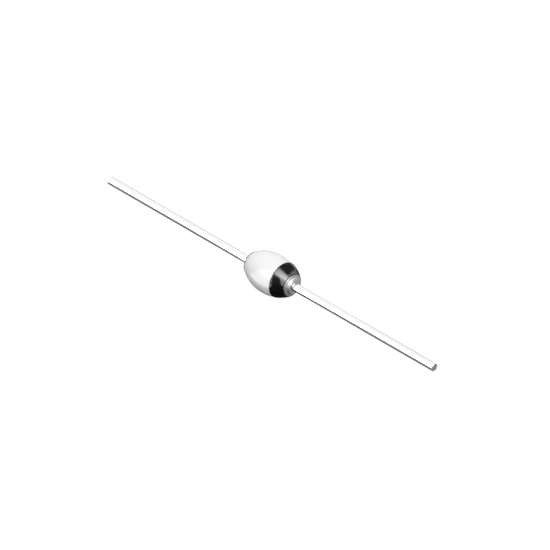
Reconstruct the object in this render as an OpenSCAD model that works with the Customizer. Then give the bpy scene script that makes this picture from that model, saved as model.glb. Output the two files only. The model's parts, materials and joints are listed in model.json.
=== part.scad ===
// Axial rectifier diode sealed in a fused glass bead, with a painted band at its cathode end.
// Lengths are in millimetres. The leads run along X, with the cathode towards +X, and +Z is up.
// The origin is the middle of the bead, on the axis of the leads.

/* [Glass bead] */
// Diameter of the bead at its middle
bead_d = 4.0; // [3:0.1:5]
// Length of the glass along the leads
bead_l = 5.18; // [4.6:0.02:6.6]
// Thickness of the glass at its two ends, where it wets the slugs
glass_lip = 0.03; // [0.02:0.01:0.2]

/* [Cathode band] */
// Length of the painted band along the leads
band_l = 1.26; // [0.6:0.02:2]
// Bare glass left between the band and the cathode end
band_inset = 0; // [0:0.01:0.3]
// Thickness of the paint
paint_t = 0.04; // [0.02:0.005:0.05]

/* [Slugs] */
// Diameter of each slug
slug_d = 2.28; // [2.2:0.02:2.8]
// How far each slug stands out of the glass
slug_stand = 0.14; // [0.06:0.01:0.4]
// Width of the bevel on each slug's outer rim, measured across the end face
slug_bevel = 0.05; // [0.03:0.01:0.2]
// Width of the small chamfer on each slug's inner rim, under the glass
slug_chamfer = 0.04; // [0.02:0.01:0.1]

/* [Silicon die] */
// Side of the square die at its cathode face
die_base_w = 1.5; // [1.2:0.02:1.54]
// Side of the die at its anode face, above the bevelled flanks
die_top_w = 1.2; // [0.9:0.02:1.48]
// Thickness of the die
die_t = 0.3; // [0.2:0.01:0.4]
// Thickness of the braze foil on each face of the die
foil_t = 0.05; // [0.03:0.01:0.1]

/* [Leads] */
// Diameter of the wire
lead_d = 0.8; // [0.5:0.02:1.1]
// Length of the wire beyond its nail head
lead_l = 18.52; // [5:0.02:28]
// Diameter of the nail head
head_d = 1.54; // [1.3:0.02:1.9]
// Thickness of the nail head
head_t = 0.2; // [0.12:0.01:0.4]
// Radius that rounds the outer rim of the nail head
head_round = 0.05; // [0.02:0.01:0.1]
// Radius of the fillet from the nail head to the wire
neck_fillet = 0.08; // [0.03:0.01:0.08]
// Width of the chamfer on the cut end of the wire
tip_chamfer = 0.03; // [0.01:0.01:0.1]

/* [Lead braze] */
// Thickness of the braze between slug and nail head
braze_t = 0.05; // [0.03:0.01:0.1]
// Radius of the braze fillet round the nail head
braze_fillet = 0.06; // [0.03:0.01:0.11]

/* [Hidden] */
$fn = 96;
// Segments in a full turn of the bead's outline, which is a short stretch of a wide circle
barrel_fn = 288;

bead_r = bead_d / 2;
slug_r = slug_d / 2;
head_r = head_d / 2;
lead_r = lead_d / 2;

// The bead's outline is one arc from the lip of glass on one slug to the lip on the other.
function arc_radius(half_chord, rise) = (half_chord * half_chord + rise * rise) / (2 * rise);
glass_end = bead_l / 2;
barrel_r = arc_radius(glass_end, bead_r - slug_r - glass_lip);

// Places along the axis, counted from the middle of the bead towards the cathode
foil_face = die_t / 2;
slug_face = foil_face + foil_t;
slug_end = glass_end + slug_stand;
head_face = slug_end + braze_t;
head_end = head_face + head_t;
band_end = glass_end - band_inset;
band_start = band_end - band_l;

// Turns a profile about the X axis: its x is the radius, and its y runs along the leads.
module turned() {
  rotate([0, 90, 0]) rotate_extrude() children();
}

// The disc that the bead's outline belongs to, grown by an even layer
module barrel_disc(layer = 0) {
  translate([bead_r - barrel_r, 0]) circle(barrel_r + layer, $fn = barrel_fn);
}

// A strip of the turned profile between two places along the axis
module strip(from, to, r) {
  translate([0, from]) square([r, to - from]);
}

// Fills the corner between two walls with a concave fillet.
module corner_fill(r) {
  difference() {
    square(r);
    translate([r, r]) circle(r);
  }
}

// Slug, braze and lead are the same at both ends of the bead.
module other_end() {
  mirror([1, 0, 0]) children();
}

module slug_body() {
  turned() polygon([
    [0, slug_face], [slug_r - slug_chamfer, slug_face], [slug_r, slug_face + slug_chamfer],
    [slug_r, glass_end], [slug_r - slug_bevel, slug_end], [0, slug_end]
  ]);
}

// The square die, whose flanks slope from a wide cathode face to a smaller anode face
module die_body() {
  outline = [
    [-foil_face, -die_top_w / 2], [foil_face, -die_base_w / 2],
    [foil_face, die_base_w / 2], [-foil_face, die_top_w / 2]
  ];
  intersection() {
    linear_extrude(die_base_w, center = true) polygon(outline);
    rotate([90, 0, 0]) linear_extrude(die_base_w, center = true) polygon(outline);
  }
}

module foil(from, side) {
  translate([from, -side / 2, -side / 2]) cube([foil_t, side, side]);
}

// The glass wets the slugs to their rims and fills the groove round the die.
module glass_bead() {
  color("white") difference() {
    turned() intersection() {
      barrel_disc();
      strip(-glass_end, glass_end, bead_r);
    }
    slug_body();
    other_end() slug_body();
    die_body();
    foil(foil_face, die_base_w);
    foil(-slug_face, die_top_w);
  }
}

module cathode_band() {
  color("#141414") turned() intersection() {
    difference() {
      barrel_disc(paint_t);
      barrel_disc();
    }
    strip(band_start, band_end, bead_d);
  }
}

module silicon_die() {
  color("#3b4150") die_body();
}

module cathode_foil() {
  color("#c4c7cc") foil(foil_face, die_base_w);
}

module anode_foil() {
  color("#c4c7cc") foil(-slug_face, die_top_w);
}

module cathode_slug() {
  color("#8c8e92") slug_body();
}

module cathode_braze() {
  color("#b9b7b0") turned() {
    strip(slug_end, head_face, head_r);
    translate([head_r, slug_end]) corner_fill(braze_fillet);
  }
}

module cathode_lead() {
  flat_r = head_r - head_round;
  tip = head_end + lead_l;
  color("#d6d8da") turned() {
    strip(head_face, head_end, flat_r);
    strip(head_face, head_end - head_round, head_r);
    translate([flat_r, head_end - head_round]) circle(head_round);
    translate([lead_r, head_end]) corner_fill(neck_fillet);
    polygon([
      [0, head_face], [lead_r, head_face], [lead_r, tip - tip_chamfer],
      [lead_r - tip_chamfer, tip], [0, tip]
    ]);
  }
}

module anode_slug() {
  other_end() cathode_slug();
}

module anode_braze() {
  other_end() cathode_braze();
}

module anode_lead() {
  other_end() cathode_lead();
}

glass_bead();
cathode_band();
silicon_die();
anode_foil();
cathode_foil();
anode_slug();
cathode_slug();
anode_braze();
cathode_braze();
anode_lead();
cathode_lead();
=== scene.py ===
"""Looks of an axial rectifier diode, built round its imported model.

A white glass bead is fused over two metal slugs. A black paint band marks its cathode end, and a
plated wire with a nail head is brazed to each slug. Pieces are modelled in millimetres, with the
wires along X and the cathode towards +X, and are brought to metres when they are finished.
"""

import json
import logging
import math
from collections.abc import Callable, Sequence
from dataclasses import dataclass, field
from enum import Enum

import bpy
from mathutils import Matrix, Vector


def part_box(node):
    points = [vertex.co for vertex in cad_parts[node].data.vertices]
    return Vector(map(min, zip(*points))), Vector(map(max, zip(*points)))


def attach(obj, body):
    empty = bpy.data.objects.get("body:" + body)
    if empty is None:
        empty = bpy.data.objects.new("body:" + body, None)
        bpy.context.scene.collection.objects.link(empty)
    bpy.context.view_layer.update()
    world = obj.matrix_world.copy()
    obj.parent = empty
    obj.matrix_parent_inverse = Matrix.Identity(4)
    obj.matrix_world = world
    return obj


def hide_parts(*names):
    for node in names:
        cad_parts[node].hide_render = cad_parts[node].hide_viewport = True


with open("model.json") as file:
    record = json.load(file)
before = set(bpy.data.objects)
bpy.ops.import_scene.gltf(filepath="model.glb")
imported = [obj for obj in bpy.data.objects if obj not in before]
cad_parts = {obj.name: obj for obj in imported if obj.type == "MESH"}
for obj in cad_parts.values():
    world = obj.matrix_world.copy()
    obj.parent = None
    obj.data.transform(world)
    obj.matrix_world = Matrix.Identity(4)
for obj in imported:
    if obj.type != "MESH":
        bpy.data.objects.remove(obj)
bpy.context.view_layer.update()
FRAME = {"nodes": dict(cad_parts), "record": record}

MM = 0.001
TURN = 2 * math.pi
BODY = "root"
Point = tuple[float, float]
Colour = tuple[float, float, float]
Piece = bpy.types.Object
Socket = bpy.types.NodeSocket
log = logging.getLogger("axial_diode")


class Lay(Enum):
    """Which way the fine lines of a metal surface run."""

    DRAWN = "drawn along the wire"
    TURNED = "turned in rings about the wire"
    CAST = "no lines"


# ---------------------------------------------------------------- sizes


@dataclass(frozen=True)
class DiodeSizes:
    """Sizes of the diode in millimetres, and places counted from the middle of the bead.

    Attributes:
        bead_r: radius of the bead.
        glass_end: where the glass ends.
        slug_r: radius of the slugs.
        slug_face: where a slug starts, inside the glass.
        slug_end: where it ends, outside the glass.
        head_r: radius of the nail heads.
        head_face: where a nail head starts, on its braze.
        neck_end: where the fillet from nail head to wire ends.
        wire_r: radius of the wires.
        tip: where a wire ends.
        band_start: where the paint band starts.
        band_end: where it ends.
        band_r: largest radius of the band, which is at its start.
    """

    bead_r: float
    glass_end: float
    slug_r: float
    slug_face: float
    slug_end: float
    head_r: float
    head_face: float
    neck_end: float
    wire_r: float
    tip: float
    band_start: float
    band_end: float
    band_r: float

    @classmethod
    def from_frame(cls) -> "DiodeSizes":
        """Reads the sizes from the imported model.

        Returns:
            The sizes, all in millimetres.
        """
        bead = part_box("glass_bead")[1] / MM
        slug_low, slug_high = (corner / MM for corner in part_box("cathode_slug"))
        lead_low, lead_high = (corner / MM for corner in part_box("cathode_lead"))
        band_low, band_high = (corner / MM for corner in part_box("cathode_band"))
        pin = next(m for m in FRAME["record"]["mounts"] if m["name"] == "cathode_lead")
        return cls(
            bead_r=bead.z,
            glass_end=bead.x,
            slug_r=slug_high.z,
            slug_face=slug_low.x,
            slug_end=slug_high.x,
            head_r=lead_high.z,
            head_face=lead_low.x,
            neck_end=pin["pos_m"][0] / MM - pin["dims"]["length_mm"] / 2,
            wire_r=pin["dims"]["r_mm"],
            tip=lead_high.x,
            band_start=band_low.x,
            band_end=band_high.x,
            band_r=band_high.z,
        )


@dataclass(frozen=True)
class Barrel:
    """The bead's outline: one arc about the bead, through its two lips of glass.

    Attributes:
        glass_end: where the glass ends along the wires.
        bead_r: radius of the bead at its middle.
        lip_r: radius of the outline at its two ends.
    """

    glass_end: float
    bead_r: float
    lip_r: float

    GLASS_LIP = 0.03

    @classmethod
    def from_sizes(cls, sizes: DiodeSizes) -> "Barrel":
        """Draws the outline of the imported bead, whose glass thins to its lip at both ends."""
        return cls(sizes.glass_end, sizes.bead_r, sizes.slug_r + cls.GLASS_LIP)

    @property
    def radius(self) -> float:
        """Radius of the arc."""
        rise = self.bead_r - self.lip_r
        return (self.glass_end**2 + rise**2) / (2 * rise)

    @property
    def centre_r(self) -> float:
        """Where the arc's centre lies: below zero, as it is on the far side of the wires' axis."""
        return self.bead_r - self.radius

    def arc(self, start: float, end: float, steps: int) -> list[Point]:
        """Follows the outline between two places along the wires.

        Args:
            start: place where the arc starts.
            end: place where it ends.
            steps: number of straight runs that stand for it.

        Returns:
            Points as (place along the wires, distance from their axis).
        """
        reach = self.radius
        first, last = math.asin(start / reach), math.asin(end / reach)
        angles = [first + (last - first) * i / steps for i in range(steps + 1)]
        return [(reach * math.sin(a), self.centre_r + reach * math.cos(a)) for a in angles]


# ---------------------------------------------------------------- modelling moves


class Bench:
    """Modelling moves that the pieces share. Lengths are in millimetres.

    Vertices nearer to each other than MERGE are one, and a vertex within TOUCH of a rim is on it.
    """

    MERGE = 1e-4
    TOUCH = 1e-3
    SMOOTH_BELOW = math.radians(28)

    @staticmethod
    def clear() -> None:
        """Leaves edit mode and deselects every object."""
        if bpy.context.mode != "OBJECT":
            bpy.ops.object.mode_set(mode="OBJECT")
        bpy.ops.object.select_all(action="DESELECT")

    @classmethod
    def take(cls, piece: Piece) -> None:
        """Makes a piece the only selected one, and the active one.

        Args:
            piece: the piece to take in hand.
        """
        cls.clear()
        piece.select_set(True)
        bpy.context.view_layer.objects.active = piece

    @classmethod
    def turn(cls, name: str, outline: Sequence[Point], steps: int) -> Piece:
        """Draws an outline vertex by vertex and spins it once about the wires' axis.

        Args:
            name: the piece's name.
            outline: points as (place along the wires, distance from their axis).
            steps: number of facets round the turn.

        Returns:
            The turned piece, in object mode.
        """
        cls.clear()
        (x, r), *rest = outline
        bpy.ops.mesh.primitive_plane_add(size=1, location=(0, 0, 0))
        piece = bpy.context.active_object
        piece.name = piece.data.name = name
        bpy.ops.object.mode_set(mode="EDIT")
        bpy.ops.mesh.select_mode(type="VERT")
        bpy.ops.mesh.select_all(action="SELECT")
        bpy.ops.mesh.merge(type="CENTER")
        bpy.ops.transform.translate(value=(x, 0, r))
        for next_x, next_r in rest:
            step = {"value": (next_x - x, 0, next_r - r)}
            bpy.ops.mesh.extrude_vertices_move(TRANSFORM_OT_translate=step)
            x, r = next_x, next_r
        bpy.ops.mesh.select_all(action="SELECT")
        bpy.ops.mesh.spin(steps=steps, angle=TURN, center=(0, 0, 0), axis=(1, 0, 0))
        cls.close_skin()
        return piece

    @classmethod
    def close_skin(cls) -> None:
        """Merges doubles, faces the skin outwards and leaves edit mode."""
        bpy.ops.mesh.select_all(action="SELECT")
        bpy.ops.mesh.remove_doubles(threshold=cls.MERGE)
        bpy.ops.mesh.dissolve_degenerate(threshold=cls.MERGE)
        bpy.ops.mesh.select_all(action="SELECT")
        bpy.ops.mesh.normals_make_consistent(inside=False)
        bpy.ops.object.mode_set(mode="OBJECT")

    @classmethod
    def round_rim(cls, piece: Piece, at: Point, width: float, segments: int) -> None:
        """Bevels one turned edge, outwards or as a fillet.

        Args:
            piece: the piece to work on.
            at: the edge's place along the wires and its distance from their axis.
            width: width of the bevel on each side of the edge.
            segments: number of facets across the bevel.
        """
        cls.take(piece)
        mesh = piece.data
        for part in (*mesh.vertices, *mesh.edges, *mesh.polygons):
            part.select = False
        on_rim = [
            abs(v.co.x - at[0]) < cls.TOUCH and abs(math.hypot(v.co.y, v.co.z) - at[1]) < cls.TOUCH
            for v in mesh.vertices
        ]
        for edge in mesh.edges:
            edge.select = on_rim[edge.vertices[0]] and on_rim[edge.vertices[1]]
        bpy.ops.object.mode_set(mode="EDIT")
        bpy.ops.mesh.select_mode(type="EDGE")
        bpy.ops.mesh.bevel(offset=width, segments=segments, profile=0.5, affect="EDGES")
        cls.close_skin()

    @classmethod
    def ripple(
        cls,
        piece: Piece,
        skin: Callable[[Vector], bool],
        grain: float,
        depth: float,
        direction: str = "NORMAL",
    ) -> None:
        """Moves part of a surface by slow noise, as fired or brushed surfaces are uneven.

        Args:
            piece: the piece to work on.
            skin: says which vertices move.
            grain: size of the unevenness.
            depth: full height of the unevenness.
            direction: NORMAL, or the axis along which vertices move.
        """
        cls.take(piece)
        moving = piece.vertex_groups.new(name="moving")
        moving.add([v.index for v in piece.data.vertices if skin(v.co)], 1.0, "REPLACE")
        cloud = bpy.data.textures.new(f"{piece.name}_cloud", "CLOUDS")
        cloud.noise_scale = grain
        cloud.noise_depth = 1
        wave = piece.modifiers.new("ripple", "DISPLACE")
        wave.texture = cloud
        wave.texture_coords = "LOCAL"
        wave.vertex_group = moving.name
        wave.direction = direction
        wave.strength = depth
        wave.mid_level = 0.5
        bpy.ops.object.modifier_apply(modifier=wave.name)
        piece.vertex_groups.clear()
        bpy.data.textures.remove(cloud)

    @classmethod
    def cut(cls, piece: Piece, cutter: Piece) -> None:
        """Cuts a piece with another object, which is then thrown away.

        Args:
            piece: the piece to cut.
            cutter: the object whose room is taken out of it.
        """
        cls.take(piece)
        knife = piece.modifiers.new("cut", "BOOLEAN")
        knife.operation = "DIFFERENCE"
        knife.solver = "EXACT"
        knife.object = cutter
        bpy.ops.object.modifier_apply(modifier=knife.name)
        bpy.data.objects.remove(cutter)

    @classmethod
    def to_metres(cls, piece: Piece) -> None:
        """Smooths the gentle edges of a finished piece and brings it to metres.

        Args:
            piece: the piece, in millimetres.
        """
        cls.take(piece)
        bpy.ops.object.shade_smooth_by_angle(angle=cls.SMOOTH_BELOW)
        piece.scale = (MM, MM, MM)
        bpy.ops.object.transform_apply(location=True, rotation=True, scale=True)

    @classmethod
    def other_end(cls, piece: Piece, name: str) -> Piece:
        """Copies a piece to the other end of the bead.

        Args:
            piece: the finished piece at the cathode end.
            name: the copy's name.

        Returns:
            The mirrored copy, with a mesh of its own.
        """
        cls.take(piece)
        bpy.ops.object.duplicate(linked=False)
        twin = bpy.context.active_object
        twin.name = twin.data.name = name
        bpy.ops.object.mode_set(mode="EDIT")
        bpy.ops.mesh.select_all(action="SELECT")
        bpy.ops.transform.resize(value=(-1, 1, 1), center_override=(0, 0, 0))
        bpy.ops.mesh.normals_make_consistent(inside=False)
        bpy.ops.object.mode_set(mode="OBJECT")
        return twin


# ---------------------------------------------------------------- materials


class Wiring:
    """Adds nodes to one node tree and joins them.

    A Mix node has its sockets A, B and Result once for each kind of data, under the same names,
    so those of its colours go by number.
    """

    MIX_FIRST = 6
    MIX_SECOND = 7
    MIX_RESULT = 2

    def __init__(self, tree: bpy.types.NodeTree) -> None:
        """Takes the tree to work on and empties it."""
        self.tree = tree
        tree.nodes.clear()

    @classmethod
    def of_material(cls, name: str) -> tuple[bpy.types.Material, "Wiring"]:
        """Starts a material.

        Args:
            name: the material's name.

        Returns:
            The material and the wiring of its nodes.
        """
        material = bpy.data.materials.new(name)
        material.use_nodes = True
        return material, cls(material.node_tree)

    def add(self, kind: str, inputs: dict | None = None, **settings: object) -> bpy.types.Node:
        """Adds one node.

        Args:
            kind: the node's type, without its ShaderNode prefix.
            inputs: what its sockets take, by name or number: a value, or another node's output.
            settings: the node's own properties.

        Returns:
            The node.
        """
        node = self.tree.nodes.new(f"ShaderNode{kind}")
        for name, value in settings.items():
            setattr(node, name, value)
        for name, value in (inputs or {}).items():
            self.give(node, name, value)
        return node

    def give(self, node: bpy.types.Node, name: str | int, value: object) -> None:
        """Gives one socket of a node what it takes.

        Args:
            node: the node.
            name: the socket's name or number.
            value: a value, or another node's output to link.
        """
        if isinstance(value, Socket):
            self.tree.links.new(value, node.inputs[name])
        else:
            node.inputs[name].default_value = value

    def effect(self, group: bpy.types.NodeTree, **inputs: object) -> bpy.types.Node:
        """Places an effect, which is a node group, with its own values.

        Args:
            group: the effect.
            inputs: what its sockets take, by their names in lower case.

        Returns:
            The effect's node.
        """
        node = self.tree.nodes.new("ShaderNodeGroup")
        node.node_tree = group
        for name, value in inputs.items():
            self.give(node, name.capitalize(), value)
        return node

    def millimetres(self) -> Socket:
        """The place on the piece in millimetres.

        Returns:
            The place as a vector.
        """
        place = self.add("TexCoord").outputs["Object"]
        size = {"Vector": place, "Scale": (1 / MM, 1 / MM, 1 / MM)}
        return self.add("Mapping", size).outputs["Vector"]

    def ramp(self, value: Socket, low: float, high: float) -> Socket:
        """Turns a mask from 0 to 1 into a value from low to high."""
        span = {"Value": value, "To Min": low, "To Max": high}
        return self.add("MapRange", span).outputs["Result"]

    def bump(self, height: Socket, depth: float) -> Socket:
        """Turns a height from 0 to 1 into a normal, for relief of a depth in millimetres."""
        relief = {"Height": height, "Distance": depth * MM, "Strength": 1.0}
        return self.add("Bump", relief).outputs["Normal"]

    def blend(self, mask: Socket, first: Colour | Socket, second: Colour) -> Socket:
        """Mixes two colours by a mask.

        Args:
            mask: how much of the second colour shows, from 0 to 1.
            first: a colour, or another node's colour.
            second: the colour that comes over it.

        Returns:
            The mixed colour.
        """
        mix = self.add("Mix", {"Factor": mask}, data_type="RGBA")
        is_plain = not isinstance(first, Socket)
        self.give(mix, self.MIX_FIRST, (*first, 1) if is_plain else first)
        self.give(mix, self.MIX_SECOND, (*second, 1))
        return mix.outputs[self.MIX_RESULT]


class Effects:
    """Surface effects that several finishes use, each a node group that is built once."""

    @staticmethod
    def _new(
        name: str, inputs: dict[str, str], outputs: Sequence[str]
    ) -> tuple[bpy.types.NodeTree, Wiring, bpy.types.Node, bpy.types.Node]:
        """Starts a node group.

        Args:
            name: the effect's name.
            inputs: the kind of each input socket, by its name.
            outputs: names of its masks and heights.

        Returns:
            The group, its wiring, and its input and output nodes.
        """
        group = bpy.data.node_groups.new(name, "ShaderNodeTree")
        for socket, kind in inputs.items():
            group.interface.new_socket(socket, in_out="INPUT", socket_type=f"NodeSocket{kind}")
        for socket in outputs:
            group.interface.new_socket(socket, in_out="OUTPUT", socket_type="NodeSocketFloat")
        wiring = Wiring(group)
        enter = group.nodes.new("NodeGroupInput")
        leave = group.nodes.new("NodeGroupOutput")
        return group, wiring, enter, leave

    @classmethod
    def mottle(cls) -> bpy.types.NodeTree:
        """Soft cloudy unevenness: a mask for colour and roughness, and a height.

        Returns:
            The node group, with the sockets Place and Density.
        """
        name = "Mottle"
        if name in bpy.data.node_groups:
            return bpy.data.node_groups[name]
        group, wiring, enter, leave = cls._new(
            name, {"Place": "Vector", "Density": "Float"}, ("Mask", "Height")
        )
        sockets = {"Vector": enter.outputs["Place"], "Scale": enter.outputs["Density"]}
        noise = wiring.add("TexNoise", {**sockets, "Detail": 3.0, "Roughness": 0.55})
        spread = {"Value": noise.outputs["Fac"], "From Min": 0.32, "From Max": 0.68}
        mask = wiring.add("MapRange", spread, clamp=True)
        wiring.give(leave, "Mask", mask.outputs["Result"])
        wiring.give(leave, "Height", noise.outputs["Fac"])
        return group

    @classmethod
    def lines(cls) -> bpy.types.NodeTree:
        """Fine lines of a drawn or turned metal: a mask and a height.

        Returns:
            The node group, with the sockets Place, Stretch and Density.
        """
        name = "Fine lines"
        if name in bpy.data.node_groups:
            return bpy.data.node_groups[name]
        group, wiring, enter, leave = cls._new(
            name, {"Place": "Vector", "Stretch": "Vector", "Density": "Float"}, ("Mask", "Height")
        )
        factors = {0: enter.outputs["Place"], 1: enter.outputs["Stretch"]}
        stretched = wiring.add("VectorMath", factors, operation="MULTIPLY")
        sockets = {"Vector": stretched.outputs["Vector"], "Scale": enter.outputs["Density"]}
        streak = wiring.add("TexNoise", {**sockets, "Detail": 4.0, "Roughness": 0.65})
        spread = {"Value": streak.outputs["Fac"], "From Min": 0.35, "From Max": 0.65}
        mask = wiring.add("MapRange", spread, clamp=True)
        wiring.give(leave, "Mask", mask.outputs["Result"])
        wiring.give(leave, "Height", streak.outputs["Fac"])
        return group

    @classmethod
    def specks(cls) -> bpy.types.NodeTree:
        """Sparse small pits and dust specks: a mask that is 1 in a speck, and its height.

        Returns:
            The node group, with the sockets Place, Density and Size.
        """
        name = "Specks"
        if name in bpy.data.node_groups:
            return bpy.data.node_groups[name]
        group, wiring, enter, leave = cls._new(
            name, {"Place": "Vector", "Density": "Float", "Size": "Float"}, ("Mask", "Height")
        )
        sockets = {"Vector": enter.outputs["Place"], "Scale": enter.outputs["Density"]}
        cells = wiring.add("TexVoronoi", {**sockets, "Randomness": 1.0})
        inside = {"Value": cells.outputs["Distance"], "From Max": enter.outputs["Size"]}
        mask = wiring.add("MapRange", {**inside, "To Min": 1.0, "To Max": 0.0}, clamp=True)
        for output in ("Mask", "Height"):
            wiring.give(leave, output, mask.outputs["Result"])
        return group


@dataclass(frozen=True)
class GlossFinish:
    """A smooth coating: fired glass, paint or etched silicon.

    Attributes:
        name: the material's name.
        colour: its colour.
        cloud: its colour in the clouds of its unevenness.
        roughness: least and most roughness.
        density: clouds in a millimetre.
        wave: height of the surface's waves, in millimetres.
        speck: colour of its few specks.
        speck_density: specks' cells in a millimetre.
        ior: index of refraction of its surface.
    """

    name: str
    colour: Colour
    cloud: Colour
    roughness: Point
    density: float
    wave: float
    speck: Colour
    speck_density: float
    ior: float = 1.5

    SPECK_SIZE = 0.09

    def material(self) -> bpy.types.Material:
        """Builds the material.

        Returns:
            The material, ready to be worn by a piece.
        """
        material, wiring = Wiring.of_material(self.name)
        place = wiring.millimetres()
        cloud = wiring.effect(Effects.mottle(), place=place, density=self.density)
        specks = wiring.effect(
            Effects.specks(), place=place, density=self.speck_density, size=self.SPECK_SIZE
        )
        tone = wiring.blend(cloud.outputs["Mask"], self.colour, self.cloud)
        speckled = wiring.blend(specks.outputs["Mask"], tone, self.speck)
        skin = wiring.add(
            "BsdfPrincipled",
            {
                "Base Color": speckled,
                "Roughness": wiring.ramp(cloud.outputs["Mask"], *self.roughness),
                "IOR": self.ior,
                "Normal": wiring.bump(cloud.outputs["Height"], self.wave),
            },
        )
        wiring.add("OutputMaterial", {"Surface": skin.outputs["BSDF"]})
        return material


@dataclass(frozen=True)
class MetalFinish:
    """A bare metal with fine lines.

    Attributes:
        name: the material's name.
        colour: its colour.
        dull: its colour where it is dulled.
        roughness: least and most roughness.
        lay: which way its fine lines run.
        density: lines in a millimetre.
        line_depth: depth of the lines, in millimetres.
        painted_shade: its colour near the bead. This is painted shade, which darkens the nail
            heads and the slugs' rims at the bead's ends.
        painted_shade_roughness: its roughness there.
        painted_shade_reach: how far from the middle of the bead the painted shade reaches, in
            millimetres.
        painted_shade_edge: length over which it fades, in millimetres.
    """

    name: str
    colour: Colour
    dull: Colour
    roughness: Point
    lay: Lay
    density: float
    line_depth: float
    painted_shade: Colour = (0.32, 0.32, 0.32)
    painted_shade_roughness: float = 0.42
    painted_shade_reach: float = 0.0
    painted_shade_edge: float = 0.3

    CLOUD_SHARE = 0.35
    CLOUD_DENSITY = 2.0
    STRETCH = 0.04

    def _line_place(self, wiring: Wiring) -> tuple[Socket, Colour]:
        """Where the lines are read, and how they are stretched there.

        Args:
            wiring: the material's wiring.

        Returns:
            The place socket, and the stretch along its three directions.
        """
        place = wiring.millimetres()
        if self.lay is Lay.DRAWN:
            return place, (self.STRETCH, 1, 1)
        if self.lay is Lay.CAST:
            return place, (1, 1, 1)
        apart = wiring.add("SeparateXYZ", {"Vector": place})
        flat = wiring.add("CombineXYZ", {"Y": apart.outputs["Y"], "Z": apart.outputs["Z"]})
        reach = wiring.add("VectorMath", {0: flat.outputs["Vector"]}, operation="LENGTH")
        angle = wiring.add(
            "Math", {0: apart.outputs["Z"], 1: apart.outputs["Y"]}, operation="ARCTAN2"
        )
        rings = wiring.add(
            "CombineXYZ",
            {"X": apart.outputs["X"], "Y": reach.outputs["Value"], "Z": angle.outputs["Value"]},
        )
        return rings.outputs["Vector"], (1, 1, self.STRETCH)

    def _painted_shade_mask(self, wiring: Wiring) -> Socket:
        """Finds where painted shade darkens the metal near the bead.

        Args:
            wiring: the material's wiring.

        Returns:
            A mask that is 1 near the bead, at both of its ends, and fades out along the wires.
        """
        apart = wiring.add("SeparateXYZ", {"Vector": wiring.millimetres()})
        reach = wiring.add("Math", {0: apart.outputs["X"]}, operation="ABSOLUTE")
        span = {
            "Value": reach.outputs["Value"],
            "From Min": self.painted_shade_reach,
            "From Max": self.painted_shade_reach + self.painted_shade_edge,
            "To Min": 1.0,
            "To Max": 0.0,
        }
        return wiring.add("MapRange", span, clamp=True).outputs["Result"]

    def material(self) -> bpy.types.Material:
        """Builds the material.

        Returns:
            The material, ready to be worn by a piece.
        """
        material, wiring = Wiring.of_material(self.name)
        line_place, stretch = self._line_place(wiring)
        lines = wiring.effect(
            Effects.lines(), place=line_place, stretch=stretch, density=self.density
        )
        cloud = wiring.effect(
            Effects.mottle(), place=wiring.millimetres(), density=self.CLOUD_DENSITY
        )
        masks = {"A": lines.outputs["Mask"], "B": cloud.outputs["Mask"]}
        mask = wiring.add("Mix", {"Factor": self.CLOUD_SHARE, **masks}).outputs["Result"]
        tone = wiring.blend(mask, self.colour, self.dull)
        roughness = wiring.ramp(mask, *self.roughness)
        # Painted shade: near the bead the metal's colour is darkened and it is made rougher.
        if self.painted_shade_reach:
            shade_mask = self._painted_shade_mask(wiring)
            tone = wiring.blend(shade_mask, tone, self.painted_shade)
            shade_roughness_mix = {"Factor": shade_mask, "A": roughness, "B": self.painted_shade_roughness}
            roughness = wiring.add("Mix", shade_roughness_mix).outputs["Result"]
        skin = wiring.add(
            "BsdfPrincipled",
            {
                "Base Color": tone,
                "Metallic": 1.0,
                "Roughness": roughness,
                "Normal": wiring.bump(lines.outputs["Height"], self.line_depth),
            },
        )
        wiring.add("OutputMaterial", {"Surface": skin.outputs["BSDF"]})
        return material


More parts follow.
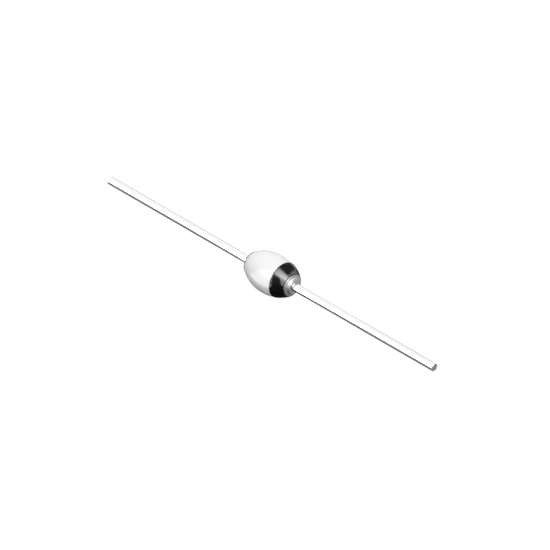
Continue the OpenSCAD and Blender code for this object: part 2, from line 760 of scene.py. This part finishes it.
@dataclass(frozen=True)
class Finishes:
    """The finish of each of the diode's materials."""

    glass = GlossFinish(
        name="white_fired_glass",
        colour=(0.93, 0.93, 0.925),
        cloud=(0.91, 0.91, 0.905),
        roughness=(0.12, 0.2),
        density=1.3,
        wave=0.004,
        speck=(0.8, 0.79, 0.77),
        speck_density=2.6,
    )
    paint = GlossFinish(
        name="black_band_paint",
        colour=(0.003, 0.003, 0.0035),
        cloud=(0.006, 0.006, 0.0065),
        roughness=(0.07, 0.12),
        density=2.2,
        wave=0.003,
        speck=(0.03, 0.03, 0.03),
        speck_density=4.0,
    )
    silicon = GlossFinish(
        name="etched_silicon",
        colour=(0.07, 0.08, 0.11),
        cloud=(0.1, 0.11, 0.14),
        roughness=(0.15, 0.35),
        density=6.0,
        wave=0.002,
        speck=(0.05, 0.06, 0.08),
        speck_density=9.0,
        ior=3.4,
    )
    foil = MetalFinish(
        name="aluminium_foil",
        colour=(0.82, 0.83, 0.85),
        dull=(0.7, 0.71, 0.73),
        roughness=(0.3, 0.45),
        lay=Lay.CAST,
        density=12.0,
        line_depth=0.003,
    )
    slug = MetalFinish(
        name="ground_molybdenum",
        colour=(0.31, 0.31, 0.315),
        dull=(0.27, 0.27, 0.275),
        roughness=(0.5, 0.6),
        lay=Lay.TURNED,
        density=16.0,
        line_depth=0.002,
        # Painted shade darkens the slugs' bevelled rims next to the glass.
        painted_shade=(0.16, 0.16, 0.165),
        painted_shade_reach=2.7,
        painted_shade_edge=0.03,
    )
    braze = MetalFinish(
        name="silver_copper_braze",
        colour=(0.62, 0.61, 0.59),
        dull=(0.52, 0.51, 0.49),
        roughness=(0.35, 0.5),
        lay=Lay.CAST,
        density=7.0,
        line_depth=0.004,
    )
    plating = MetalFinish(
        name="bright_tin_plating",
        colour=(0.95, 0.95, 0.945),
        dull=(0.91, 0.91, 0.905),
        roughness=(0.12, 0.22),
        lay=Lay.DRAWN,
        density=26.0,
        line_depth=0.0008,
        # Painted shade darkens the nail heads and the wires next to them at the bead.
        painted_shade_reach=3.2,
        painted_shade_edge=0.12,
    )


def dress(piece: Piece, material: bpy.types.Material) -> None:
    """Gives a piece one material all over."""
    piece.data.materials.clear()
    piece.data.materials.append(material)


def seat(piece: Piece, material: bpy.types.Material, node: str) -> None:
    """Dresses a new piece, puts it on the diode's body and lets it stand for its solid.

    Args:
        piece: the finished piece, in metres.
        material: its material.
        node: the solid that it stands for.
    """
    dress(piece, material)
    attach(piece, BODY)
    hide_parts(node)
    log.info("%s: %d faces, stands for %s", piece.name, len(piece.data.polygons), node)


def seat_both_ends(
    piece: Piece, material: bpy.types.Material, kind: str
) -> None:
    """Seats a piece of the cathode end, and its mirrored copy at the anode end.

    Args:
        piece: the finished piece at the cathode end, in metres.
        material: the material of both.
        kind: what both are: a slug, braze or lead.
    """
    seat(piece, material, f"cathode_{kind}")
    seat(Bench.other_end(piece, f"{kind}_anode"), material, f"anode_{kind}")


# ---------------------------------------------------------------- sub-assemblies


@dataclass
class GlassBead:
    """The fired glass: a barrel outside, bored for the slugs and closed round the die.

    Attributes:
        sizes: the diode's sizes.
        barrel: the bead's outline.
        slug_chamfer: width of the chamfer on the slugs' inner rims.
        die_wide: side of the die at its cathode face.
        die_narrow: side of the die at its anode face.
        die_t: thickness of the die.
        facets: facets round the bead.
        arc_steps: straight runs along its outline.
        lip_round: rounding of the glass's lip at the anode end, which no paint covers.
        ripple_grain: size of the fired skin's unevenness.
        ripple_depth: full height of that unevenness.
    """

    sizes: DiodeSizes
    barrel: Barrel
    slug_chamfer: float = 0.04
    die_wide: float = 1.5
    die_narrow: float = 1.2
    die_t: float = 0.3
    facets: int = 160
    arc_steps: int = 56
    lip_round: float = 0.012
    ripple_grain: float = 1.1
    ripple_depth: float = 0.008

    def outline(self) -> list[Point]:
        """Draws half of the section through the bead.

        Returns:
            Points from the axis round the skin and back to the axis.
        """
        s = self.sizes
        bore = [
            (s.slug_face, 0),
            (s.slug_face, s.slug_r - self.slug_chamfer),
            (s.slug_face + self.slug_chamfer, s.slug_r),
            (s.glass_end, s.slug_r),
        ]
        skin = self.barrel.arc(-s.glass_end, s.glass_end, self.arc_steps)
        return [(-x, r) for x, r in bore] + skin + bore[::-1]

    def die_window(self) -> Piece:
        """Models the room of the die and its foils, a little longer than the glass web there.

        Returns:
            The room as a closed solid.
        """
        reach = 2 * self.sizes.slug_face
        Bench.clear()
        bpy.ops.mesh.primitive_plane_add(size=self.die_wide, location=(0, 0, 0))
        window = bpy.context.active_object
        bpy.ops.object.mode_set(mode="EDIT")
        bpy.ops.mesh.select_all(action="SELECT")
        bpy.ops.transform.rotate(value=TURN / 4, orient_axis="Y", center_override=(0, 0, 0))
        bpy.ops.transform.translate(value=(reach, 0, 0))
        straight = (self.die_t / 2 - reach, 1.0)
        flanks = (-self.die_t, self.die_narrow / self.die_wide)
        for along, scale in (straight, flanks, straight):
            bpy.ops.mesh.extrude_region_move(TRANSFORM_OT_translate={"value": (along, 0, 0)})
            bpy.ops.transform.resize(value=(1, scale, scale))
        Bench.close_skin()
        return window

    def build(self) -> Piece:
        """Models the bead and dresses it.

        Returns:
            The finished bead.
        """
        s = self.sizes
        piece = Bench.turn("bead", self.outline(), self.facets)
        Bench.round_rim(piece, (-s.glass_end, self.barrel.lip_r), self.lip_round, segments=3)
        Bench.cut(piece, self.die_window())
        lip = self.barrel.lip_r + Bench.TOUCH
        Bench.ripple(
            piece,
            lambda place: math.hypot(place.y, place.z) > lip,
            self.ripple_grain,
            self.ripple_depth,
        )
        Bench.to_metres(piece)
        seat(piece, Finishes.glass.material(), "glass_bead")
        return piece


@dataclass
class CathodeBand:
    """The paint band: an even skin on the glass that thins at its edges and just laps the lip.

    Attributes:
        sizes: the diode's sizes.
        barrel: the bead's outline.
        facets: facets round the band.
        arc_steps: straight runs along its outline.
        left_taper: length over which the paint thins out towards the middle of the bead.
        right_taper: length over which it thins out towards the slug.
        edge_share: share of its thickness that is left at both edges.
        lap: how far it reaches past the end of the glass.
        wander: how far its left edge wanders along the glass.
        wander_grain: size of that wandering.
    """

    sizes: DiodeSizes
    barrel: Barrel
    facets: int = 160
    arc_steps: int = 42
    left_taper: float = 0.04
    right_taper: float = 0.02
    edge_share: float = 0.15
    lap: float = 0.004
    wander: float = 0.012
    wander_grain: float = 0.7

    @property
    def paint(self) -> float:
        """Full thickness of the paint, from the barrel's arc and the band's own reach."""
        s = self.sizes
        return math.hypot(s.band_start, s.band_r - self.barrel.centre_r) - self.barrel.radius

    def thickness(self, place: float) -> float:
        """Thickness of the paint, which thins out towards both edges.

        Args:
            place: where along the wires.

        Returns:
            The thickness there.
        """
        s = self.sizes
        full = min(
            (place - s.band_start) / self.left_taper,
            (s.band_end - place) / self.right_taper,
            1.0,
        )
        return self.paint * (self.edge_share + (1 - self.edge_share) * full)

    def outline(self) -> list[Point]:
        """Draws the section of the paint.

        Returns:
            Points along the glass, over its lip and back along the skin.
        """
        s = self.sizes
        glass = self.barrel.arc(s.band_start, s.band_end, self.arc_steps)
        centre_r = self.barrel.centre_r
        skin = []
        for x, r in glass:
            grow = 1 + self.thickness(x) / self.barrel.radius
            skin.append((x * grow, centre_r + (r - centre_r) * grow))
        lip = [
            (s.glass_end, s.slug_r),
            (s.glass_end + self.lap, s.slug_r),
            (s.glass_end + self.lap, skin[-1][1] - self.lap),
        ]
        return [*glass, *lip, *skin[::-1], glass[0]]

    def build(self) -> Piece:
        """Models the band and dresses it.

        Returns:
            The finished band.
        """
        s = self.sizes
        piece = Bench.turn("band", self.outline(), self.facets)
        Bench.ripple(
            piece,
            lambda place: place.x < s.band_start + self.left_taper,
            self.wander_grain,
            self.wander,
            "X",
        )
        Bench.to_metres(piece)
        seat(piece, Finishes.paint.material(), "cathode_band")
        return piece


@dataclass
class Slugs:
    """The two molybdenum slugs, bevelled where they stand out of the glass.

    Attributes:
        sizes: the diode's sizes.
        chamfer: width of the chamfer on the inner rim, under the glass.
        bevel: width of the bevel on the outer rim, across the end face.
        edge_round: rounding between that bevel and the end face.
        facets: facets round a slug.
    """

    sizes: DiodeSizes
    chamfer: float = 0.04
    bevel: float = 0.05
    edge_round: float = 0.012
    facets: int = 128

    def build(self) -> None:
        """Models the cathode's slug, copies it to the anode end and dresses both."""
        s = self.sizes
        rim = (s.slug_end, s.slug_r - self.bevel)
        outline = [
            (s.slug_face, 0),
            (s.slug_face, s.slug_r - self.chamfer),
            (s.slug_face + self.chamfer, s.slug_r),
            (s.glass_end, s.slug_r),
            rim,
            (s.slug_end, 0),
        ]
        piece = Bench.turn("slug_cathode", outline, self.facets)
        Bench.round_rim(piece, rim, self.edge_round, segments=3)
        Bench.to_metres(piece)
        seat_both_ends(piece, Finishes.slug.material(), "slug")


@dataclass
class BrazeJoints:
    """The braze between each slug and its lead, drawn out to a fillet round the nail head.

    Attributes:
        sizes: the diode's sizes.
        fillet: radius of the fillet.
        fillet_steps: straight runs across the fillet.
        facets: facets round the braze.
        ripple_grain: size of the fillet's unevenness.
        ripple_depth: full height of that unevenness.
    """

    sizes: DiodeSizes
    fillet: float = 0.06
    fillet_steps: int = 6
    facets: int = 128
    ripple_grain: float = 0.35
    ripple_depth: float = 0.01

    def build(self) -> None:
        """Models the cathode's braze, copies it to the anode end and dresses both."""
        s = self.sizes
        quarter = [TURN / 4 * i / self.fillet_steps for i in range(self.fillet_steps + 1)]
        hollow = [
            (
                s.slug_end + self.fillet * (1 - math.cos(a)),
                s.head_r + self.fillet * (1 - math.sin(a)),
            )
            for a in quarter
        ]
        outline = [(s.slug_end, 0), *hollow, (s.head_face, s.head_r), (s.head_face, 0)]
        piece = Bench.turn("braze_cathode", outline, self.facets)
        Bench.ripple(
            piece,
            lambda place: math.hypot(place.y, place.z) > s.head_r + Bench.TOUCH
            and place.x > s.slug_end + Bench.TOUCH,
            self.ripple_grain,
            self.ripple_depth,
        )
        Bench.to_metres(piece)
        seat_both_ends(piece, Finishes.braze.material(), "braze")


@dataclass
class Leads:
    """The two plated wires, each upset to a nail head at the slug and cut off at its tip.

    Attributes:
        sizes: the diode's sizes.
        head_round: radius that rounds the nail head's outer rim.
        neck_fillet: radius of the fillet from the nail head to the wire.
        tip_chamfer: width of the rounding at the cut end.
        facets: facets round a wire.
        wire_steps: straight runs along it.
        ripple_grain: length of the slow waves in the drawn wire.
        ripple_depth: full height of those waves.
    """

    sizes: DiodeSizes
    head_round: float = 0.05
    neck_fillet: float = 0.08
    tip_chamfer: float = 0.03
    facets: int = 96
    wire_steps: int = 60
    ripple_grain: float = 3.0
    ripple_depth: float = 0.006

    def build(self) -> None:
        """Models the cathode's lead, copies it to the anode end and dresses both."""
        s = self.sizes
        head_end = s.neck_end - self.neck_fillet
        step = (s.tip - s.neck_end) / self.wire_steps
        wire = [(s.neck_end + step * i, s.wire_r) for i in range(1, self.wire_steps + 1)]
        outline = [
            (s.head_face, 0),
            (s.head_face, s.head_r),
            (head_end, s.head_r),
            (head_end, s.wire_r),
            *wire,
            (s.tip, 0),
        ]
        piece = Bench.turn("lead_cathode", outline, self.facets)
        Bench.round_rim(piece, (head_end, s.head_r), self.head_round, segments=5)
        Bench.round_rim(piece, (head_end, s.wire_r), self.neck_fillet, segments=6)
        Bench.round_rim(piece, (s.tip, s.wire_r), self.tip_chamfer, segments=3)
        Bench.ripple(
            piece,
            lambda place: s.neck_end + step < place.x < s.tip - step / 2,
            self.ripple_grain,
            self.ripple_depth,
        )
        Bench.to_metres(piece)
        seat_both_ends(piece, Finishes.plating.material(), "lead")


@dataclass
class DieStack:
    """The silicon die between its two braze foils, sealed in the glass.

    Attributes:
        die: the die's solid.
        foils: the foils' solids.
    """

    die: str = "silicon_die"
    foils: tuple[str, str] = ("anode_foil", "cathode_foil")

    def dress(self) -> None:
        """Dresses the solids, whose shape is already right."""
        dress(FRAME["nodes"][self.die], Finishes.silicon.material())
        foil = Finishes.foil.material()
        for name in self.foils:
            dress(FRAME["nodes"][name], foil)
        log.info("die stack: %s and %s keep their solids", self.die, " and ".join(self.foils))


# ---------------------------------------------------------------- studio


def aim(azimuth: float, elevation: float) -> Vector:
    """The direction at an azimuth from +X towards +Y and a height above the floor, in degrees."""
    a, e = math.radians(azimuth), math.radians(elevation)
    return Vector((math.cos(a) * math.cos(e), math.sin(a) * math.cos(e), math.sin(e)))


@dataclass(frozen=True)
class Softbox:
    """A soft lamp that faces the diode.

    Attributes:
        name: the lamp's name.
        azimuth: its direction from +X towards +Y, in degrees.
        elevation: its height above the floor, in degrees.
        width: its width, as seen from the diode, in degrees.
        height: its height, as seen from the diode, in degrees.
        radiance: how bright its face is, where 1 is white.
    """

    name: str
    azimuth: float
    elevation: float
    width: float
    height: float
    radiance: float

    DISTANCE = 0.6

    def place(self) -> None:
        """Adds the lamp to the scene, DISTANCE metres away. Glossy surfaces don't show it."""
        lamp = bpy.data.lights.new(self.name, "AREA")
        lamp.shape = "RECTANGLE"
        lamp.size = 2 * self.DISTANCE * math.tan(math.radians(self.width / 2))
        lamp.size_y = 2 * self.DISTANCE * math.tan(math.radians(self.height / 2))
        lamp.energy = self.radiance * math.pi * lamp.size * lamp.size_y
        holder = bpy.data.objects.new(self.name, lamp)
        bpy.context.scene.collection.objects.link(holder)
        way = aim(self.azimuth, self.elevation)
        holder.location = way * self.DISTANCE
        holder.rotation_euler = way.to_track_quat("Z", "Y").to_euler()
        holder.visible_camera = False
        holder.visible_glossy = False


@dataclass(frozen=True)
class Card:
    """A flat card that only glossy surfaces show. It throws no shadow and gives no light.

    Attributes:
        name: the card's name.
        low: its lowest corner, in millimetres.
        high: its highest corner, in millimetres; the two agree along one axis.
        grey: how bright it is, where 1 is white.
        shades: for an axis, pairs of a share of the card along it and how much of its grey is
            left there.
    """

    name: str
    low: tuple[float, float, float]
    high: tuple[float, float, float]
    grey: float
    shades: dict[str, tuple[Point, ...]] = field(default_factory=dict)

    def corners(self) -> list[tuple[float, float, float]]:
        """Finds the card's four corners.

        Returns:
            The corners in metres, in order round the card.
        """
        first, second = (axis for axis in range(3) if self.high[axis] > self.low[axis])
        corners = []
        for along, across in ((0, 0), (1, 0), (1, 1), (0, 1)):
            corner = [length * MM for length in self.low]
            corner[first] = (self.low, self.high)[along][first] * MM
            corner[second] = (self.low, self.high)[across][second] * MM
            corners.append(tuple(corner))
        return corners

    def shade(self, wiring: Wiring, axis: str, share: tuple[Point, ...]) -> Socket:
        """A mask that follows the card's shades along one axis.

        Args:
            wiring: the card material's wiring.
            axis: X, Y or Z.
            share: pairs of a share of the card along the axis and the mask there.

        Returns:
            The mask.
        """
        number = "XYZ".index(axis)
        place = wiring.add("TexCoord").outputs["Object"]
        apart = wiring.add("SeparateXYZ", {"Vector": place})
        low, high = self.low[number] * MM, self.high[number] * MM
        span = {"Value": apart.outputs[axis], "From Min": low, "From Max": high}
        along = wiring.add("MapRange", span).outputs["Result"]
        ramp = wiring.add("ValToRGB", {"Fac": along})
        ramp.color_ramp.interpolation = "EASE"
        stops = ramp.color_ramp.elements
        while len(stops) < len(share):
            stops.new(position=0.5)
        for stop, (at, mask) in zip(stops, share):
            stop.position = at
            stop.color = (mask, mask, mask, 1)
        return ramp.outputs["Color"]

    def glow(self) -> bpy.types.Material:
        """Builds the card's material.

        Returns:
            A material that glows by the card's grey and shades.
        """
        material, wiring = Wiring.of_material(self.name)
        strength = self.grey
        for axis, share in self.shades.items():
            mask = self.shade(wiring, axis, share)
            factors = {0: mask, 1: strength}
            strength = wiring.add("Math", factors, operation="MULTIPLY").outputs["Value"]
        light = wiring.add("Emission", {"Color": (1, 1, 1, 1), "Strength": strength})
        wiring.add("OutputMaterial", {"Surface": light.outputs["Emission"]})
        return material

    def place(self) -> None:
        """Adds the card to the scene."""
        mesh = bpy.data.meshes.new(self.name)
        mesh.from_pydata(self.corners(), [], [(0, 1, 2, 3)])
        card = bpy.data.objects.new(self.name, mesh)
        bpy.context.scene.collection.objects.link(card)
        mesh.materials.append(self.glow())
        card.visible_camera = False
        card.visible_diffuse = False
        card.visible_shadow = False
        card.visible_transmission = False


@dataclass
class Studio:
    """A plain white table-top studio, its lamps and its camera.

    Attributes:
        sizes: the diode's sizes.
        frame_width: width of the view.
        right_of_bead: how far the view's centre lies to the right of the bead's.
        below_bead: how far it lies below it.
        camera_distance: how far the camera stands from that centre.
        camera_clip: the nearest and the farthest that it sees.
        floor_side: side of the floor.
        floor_colour: grey of the floor under the lamps, which shows the diode's shadow.
        floor_glow: what the floor glows besides, where it is seen, so that it looks white.
        ambient: brightness of the world on matt surfaces.
        lamps: the soft lamps.
    """

    sizes: DiodeSizes
    frame_width: float = 51.6
    right_of_bead: float = 0.25
    below_bead: float = 0.096
    camera_distance: float = 300.0
    camera_clip: Point = (10.0, 10000.0)
    floor_side: float = 4000.0
    floor_colour: float = 0.16
    floor_glow: float = 0.93
    ambient: float = 0.5
    lamps: tuple[Softbox, ...] = (
        Softbox("key_lamp", -58, 52, 44, 44, 1.9),
        Softbox("front_fill", -70, 22, 60, 40, 0.95),
        Softbox("back_fill", 112, 50, 70, 50, 0.75),
    )

    # The cards on the floor lie LIFT above it, and a LAYER higher where one covers another.
    # FRONT is where the cards under the wires end towards the camera. The room of cards reaches
    # WALL to each side and up to CEILING.
    LIFT = 0.02
    LAYER = 0.01
    FRONT = -4.2
    CEILING = 400.0
    WALL = 640.0
    DARK = 0.2
    FADING = ((0.0, 1.0), (1.0, 0.2))

    @property
    def ground(self) -> float:
        """Height of the cards on the floor, just above it."""
        return -self.sizes.bead_r + self.LIFT

    def seen_as_background(self, wiring: Wiring) -> Socket:
        """Finds the rays that should see a white background.

        Args:
            wiring: the wiring of the floor or of the world.

        Returns:
            A mask that is 1 for those rays.
        """
        path = wiring.add("LightPath")
        seen = path.outputs["Is Camera Ray"]
        for ray in ("Is Glossy Ray", "Is Transmission Ray"):
            either = wiring.add("Math", {0: seen, 1: path.outputs[ray]}, operation="MAXIMUM")
            seen = either.outputs["Value"]
        return seen

    def build_world(self) -> None:
        """Makes the world: white where it is seen, and a plain soft light elsewhere."""
        world = bpy.data.worlds.new("studio_world")
        world.use_nodes = True
        wiring = Wiring(world.node_tree)
        strength = wiring.ramp(self.seen_as_background(wiring), self.ambient, 1.0)
        sky = wiring.add("Background", {"Color": (1, 1, 1, 1), "Strength": strength})
        wiring.add("OutputWorld", {"Surface": sky.outputs["Background"]})
        bpy.context.scene.world = world

    def build_floor(self) -> None:
        """Lays the pale floor under the bead. It looks white and keeps the diode's shadow."""
        Bench.clear()
        low = -self.sizes.bead_r * MM
        bpy.ops.mesh.primitive_plane_add(size=self.floor_side * MM, location=(0, 0, low))
        floor = bpy.context.active_object
        floor.name = "floor"
        material, wiring = Wiring.of_material("pale_floor")
        grey = self.floor_colour
        matte = wiring.add("BsdfDiffuse", {"Color": (grey, grey, grey, 1)})
        strength = wiring.ramp(self.seen_as_background(wiring), 0.0, self.floor_glow)
        glow = wiring.add("Emission", {"Color": (1, 1, 1, 1), "Strength": strength})
        both = wiring.add("AddShader", {0: matte.outputs["BSDF"], 1: glow.outputs["Emission"]})
        wiring.add("OutputMaterial", {"Surface": both.outputs["Shader"]})
        dress(floor, material)

    def floor_cards(self) -> tuple[Card, ...]:
        """Cards on the floor. The underside card draws the dark lower edge of the wires.

        Returns:
            The cards, of which those that lie over another are a layer higher.
        """
        s = self.sizes
        ground, front, far = self.ground, self.FRONT, self.WALL
        raised = ground + self.LAYER
        left, right = -s.tip - 3, s.tip + 0.8
        fading = {"Y": self.FADING}
        return (
            Card("underside", (left, front, ground), (right, 3.0, ground), 0.18),
            Card("underside_left", (left, -9, ground), (-7, front, ground), 0.9, fading),
            Card("underside_right", (5, -9, ground), (right, front, ground), 0.9, fading),
            Card("under_bead", (-2.8, -2.9, raised), (3.2, 3.0, raised), 0.02),
            Card("back_floor_left", (-far, 3.0, ground), (-8.5, 18.0, ground), 0.1),
            Card("back_floor_near", (-2.2, 3.0, ground), (far, 18.0, ground), 0.1),
            Card("back_floor_far", (-7.0, 18.0, ground), (far, far, ground), 0.1),
            Card("end_floor", (s.neck_end + 0.4, 0.5, raised), (9.0, 7.0, raised), 1.0),
            Card("tip_floor", (right, 0.3, raised), (s.tip + 7, 7.0, raised), 0.25),
            Card("front_floor_a", (0.6, -5.6, raised), (7.0, -2.9, raised), 0.06),
            Card("front_floor_b", (1.35, -11.0, raised), (9.0, -5.6, raised), 0.06),
            Card("front_floor_c", (2.3, -far, ground), (self.CEILING, -11.0, ground), 0.06),
            Card("front_glow_near", (-7.0, -22.0, ground), (1.9, front, ground), 4.0),
            Card("front_glow_far", (-16.0, -40.0, ground), (-7.0, -9.0, ground), 4.0),
        )

    def dark_room(self) -> tuple[Card, ...]:
        """The strip overhead, which makes the band's long highlight, and the dark room round it.

        Returns:
            The cards.
        """
        ground, high, far, dark = self.ground, self.CEILING, self.WALL, self.DARK
        along = ((0.0, 0.62), (0.45, 1.0))
        across = ((0.0, 0.0), (0.52, 1.0), (1.0, 0.66))
        strip = {"X": along, "Y": across}
        return (
            Card("overhead_strip", (-20, -460, high), (far, 8, high), 16.0, strip),
            Card("dark_ceiling", (-100, 8, high + 1), (far, far, high + 1), dark),
            Card("dark_back", (-200, far, ground), (far, far, high), dark),
            Card("dark_right", (far, -100, ground), (far, far, high), dark),
            Card("dark_front", (30, -far, ground), (340, -far, 540), dark),
        )

    def lit_panels(self) -> tuple[Card, ...]:
        """Lit panels on the room's walls and ceiling, which give the metal its bright sides.

        Returns:
            The cards.
        """
        ground, high, far = self.ground, self.CEILING, self.WALL
        upwards = {"Z": ((0.0, 0.42), (0.5, 0.55), (1.0, 1.0))}
        fading = {"Y": self.FADING}
        return (
            Card("left_panel", (-far, -far, ground), (30, -far, 700), 4.0),
            Card("right_panel", (185, -360, ground), (far, -360, high), 8.4, upwards),
            Card("back_panel_low", (-85, far - 1, ground), (far, far - 1, 100), 1.5),
            Card("back_panel_middle", (-20, far - 1, 100), (far, far - 1, 210), 2.0),
            Card("back_panel_high", (65, far - 1, 210), (far, far - 1, high), 2.9),
            Card("back_left_panel", (-far, far - 1, ground), (-250, far - 1, 200), 0.7),
            Card("strip_edge", (-20, 8, high), (172, 110, high), 1.7, fading),
            Card("end_ceiling", (172, 8, high), (far, 320, high), 3.4),
            Card("back_ceiling", (135, 320, high), (far, far, high), 3.2),
            Card("end_panel", (far - 1, 70, ground), (far - 1, far, high), 3.0),
        )

    def build_camera(self) -> None:
        """Sets up a parallel view at equal angles to the three axes."""
        back = Vector((1, -1, 1)).normalized()
        right = Vector((1, 1, 0)).normalized()
        up = back.cross(right)
        lens = bpy.data.cameras.new("camera")
        lens.type = "ORTHO"
        lens.ortho_scale = self.frame_width * MM
        lens.clip_start, lens.clip_end = (clip * MM for clip in self.camera_clip)
        camera = bpy.data.objects.new("camera", lens)
        bpy.context.scene.collection.objects.link(camera)
        target = right * self.right_of_bead - up * self.below_bead
        camera.location = (target + back * self.camera_distance) * MM
        camera.rotation_euler = back.to_track_quat("Z", "Y").to_euler()
        bpy.context.scene.camera = camera

    def build(self) -> None:
        """Builds the whole studio."""
        self.build_camera()
        self.build_world()
        self.build_floor()
        cards = (*self.floor_cards(), *self.dark_room(), *self.lit_panels())
        for fitting in (*self.lamps, *cards):
            fitting.place()
        bpy.context.scene.view_settings.view_transform = "Standard"
        log.info("studio: %d lamps and %d cards", len(self.lamps), len(cards))


def main() -> None:
    """Builds the studio and the diode, piece by piece."""
    logging.basicConfig(level=logging.INFO, format="%(name)s: %(message)s")
    sizes = DiodeSizes.from_frame()
    barrel = Barrel.from_sizes(sizes)
    Studio(sizes).build()
    GlassBead(sizes, barrel).build()
    CathodeBand(sizes, barrel).build()
    Slugs(sizes).build()
    BrazeJoints(sizes).build()
    Leads(sizes).build()
    DieStack().dress()


if __name__ == "__main__":
    main()
